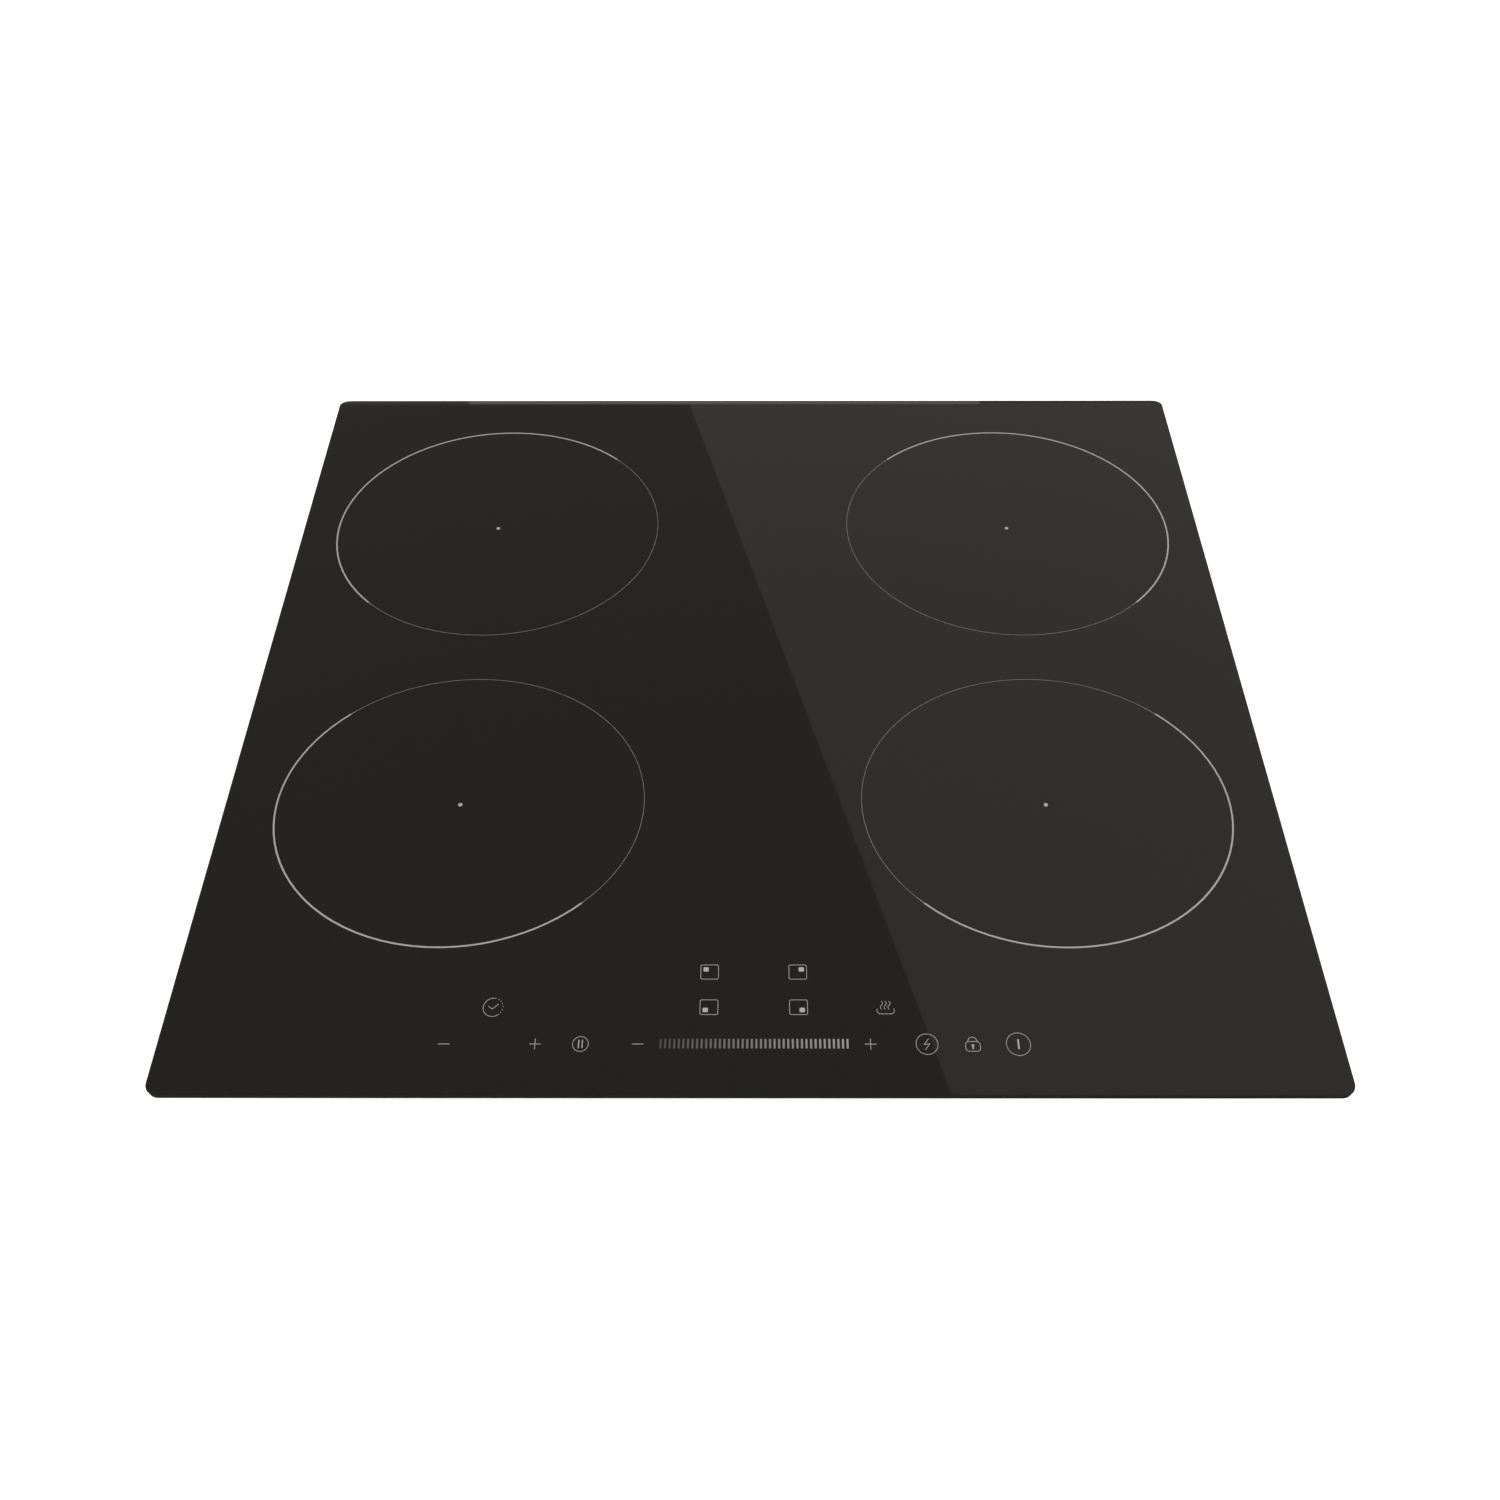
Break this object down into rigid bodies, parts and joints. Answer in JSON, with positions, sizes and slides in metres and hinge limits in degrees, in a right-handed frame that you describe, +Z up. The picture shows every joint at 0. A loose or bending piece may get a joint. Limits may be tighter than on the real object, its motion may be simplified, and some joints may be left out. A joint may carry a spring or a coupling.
{
  "type": "induction cooktop",
  "caption": "Built-in induction hob: black glass plate with round zones and a touch strip, on a vented steel tray with coils, fans, terminal box and worktop clamps.",
  "frame": {"origin": "centre of the casing's underside, which is the lowest face; the footprint is centred on the glass plate", "axes": "+X to the user's right along the glass plate's longer side, +Y from the control strip at the front to the terminal box at the rear, +Z up out of the glass"},
  "size_m": [0.59, 0.52, 0.056],
  "materials": {
    "black_glass": "polished, opaque black underside",
    "zone_print": "matt ceramic print",
    "control_print": "matt ceramic print",
    "slider_print": "matt ceramic print",
    "foam_seal": "closed-cell foam",
    "silicone": "silicone",
    "rail_steel": "zinc-plated",
    "galvanised_steel": "galvanised, faint spangle",
    "clamp_steel": "zinc-plated, bent",
    "screw_steel": "zinc-plated",
    "plate_aluminium": "mill finish",
    "black_plastic": "moulded, fine texture",
    "grey_plastic": "moulded, fine texture",
    "white_plastic": "moulded",
    "grommet_rubber": "soft, matt",
    "brass": "nickel-free, bright",
    "motor_steel": "laminated core",
    "copper_litz": "enamelled copper litz wire",
    "ferrite": "dark grey sintered",
    "mica": "pressed mica sheet",
    "sensor_ceramic": "matt",
    "circuit_board": "green solder mask",
    "component_black": "moulded epoxy",
    "capacitor_yellow": "moulded case",
    "choke_winding": "enamelled copper wire on a ring core",
    "spring_steel": "plated spring wire",
    "wire_jacket": "silicone wire jacket"
  },
  "bodies": {
    "hob": {"base_tray": "galvanised_steel", "board_capacitors": "capacitor_yellow", "board_chokes": "choke_winding", "board_standoffs": "grey_plastic", "cable_grommet": "grommet_rubber", "case_screws": "screw_steel", "clamp_screws": "screw_steel", "coil_carriers": "grey_plastic", "coil_front_left": "copper_litz", "coil_front_right": "copper_litz", "coil_leads": "wire_jacket", "coil_pads": "silicone", "coil_plates": "plate_aluminium", "coil_rear_left": "copper_litz", "coil_rear_right": "copper_litz", "control_board": "circuit_board", "control_holder": "grey_plastic", "control_print": "control_print", "display_modules": "component_black", "fan_covers": "black_plastic", "fan_housing_left": "black_plastic", "fan_housing_right": "black_plastic", "fan_motors": "motor_steel", "fan_screws": "screw_steel", "ferrite_bars": "ferrite", "filter_board": "circuit_board", "glass_top": "black_glass", "heat_sinks": "plate_aluminium", "internal_wires": "wire_jacket", "mica_sheets": "mica", "plate_posts": "plate_aluminium", "plate_screws": "screw_steel", "power_board_left": "circuit_board", "power_board_right": "circuit_board", "power_transistors": "component_black", "rail_left": "rail_steel", "rail_rear": "rail_steel", "rail_right": "rail_steel", "rails_front": "rail_steel", "rating_plate": "plate_aluminium", "sealing_gasket": "foam_seal", "shaft_clips": "screw_steel", "silicone_beads": "silicone", "slider_print": "slider_print", "terminal_block": "white_plastic", "terminal_hinge_pin": "screw_steel", "terminal_housing": "black_plastic", "terminal_links": "brass", "terminal_screws": "screw_steel", "touch_springs": "spring_steel", "zone_print": "zone_print", "zone_sensors": "sensor_ceramic"},
    "fan_wheel_left": {"fan_rotor_left": "black_plastic"},
    "fan_wheel_right": {"fan_rotor_right": "black_plastic"},
    "front_left_clamp": {"clamp_front_left": "clamp_steel"},
    "front_right_clamp": {"clamp_front_right": "clamp_steel"},
    "rear_left_clamp": {"clamp_rear_left": "clamp_steel"},
    "rear_right_clamp": {"clamp_rear_right": "clamp_steel"},
    "terminal_lid": {"terminal_cover": "grey_plastic", "cover_screw": "screw_steel"}
  },
  "joints": [
    {"name": "fan_left_spin", "type": "hinge", "parent": "hob", "child": "fan_wheel_left", "pos_m": [-0.15, 0.165, 0.015], "axis": [0, 0, 1], "continuous": true},
    {"name": "fan_right_spin", "type": "hinge", "parent": "hob", "child": "fan_wheel_right", "pos_m": [0.075, 0.165, 0.015], "axis": [0, 0, 1], "continuous": true},
    {"name": "clamp_front_left_slide", "type": "slide", "parent": "hob", "child": "front_left_clamp", "axis": [0, 0, 1], "range_m": [-0.01, 0.004]},
    {"name": "clamp_front_right_slide", "type": "slide", "parent": "hob", "child": "front_right_clamp", "axis": [0, 0, 1], "range_m": [-0.01, 0.004]},
    {"name": "clamp_rear_left_slide", "type": "slide", "parent": "hob", "child": "rear_left_clamp", "axis": [0, 0, 1], "range_m": [-0.01, 0.004]},
    {"name": "clamp_rear_right_slide", "type": "slide", "parent": "hob", "child": "rear_right_clamp", "axis": [0, 0, 1], "range_m": [-0.01, 0.004]},
    {"name": "terminal_lid_hinge", "type": "hinge", "parent": "hob", "child": "terminal_lid", "pos_m": [0.17225, 0.2432, 0.0085], "axis": [-1, 0, 0], "range_deg": [0, 90]}
  ]
}
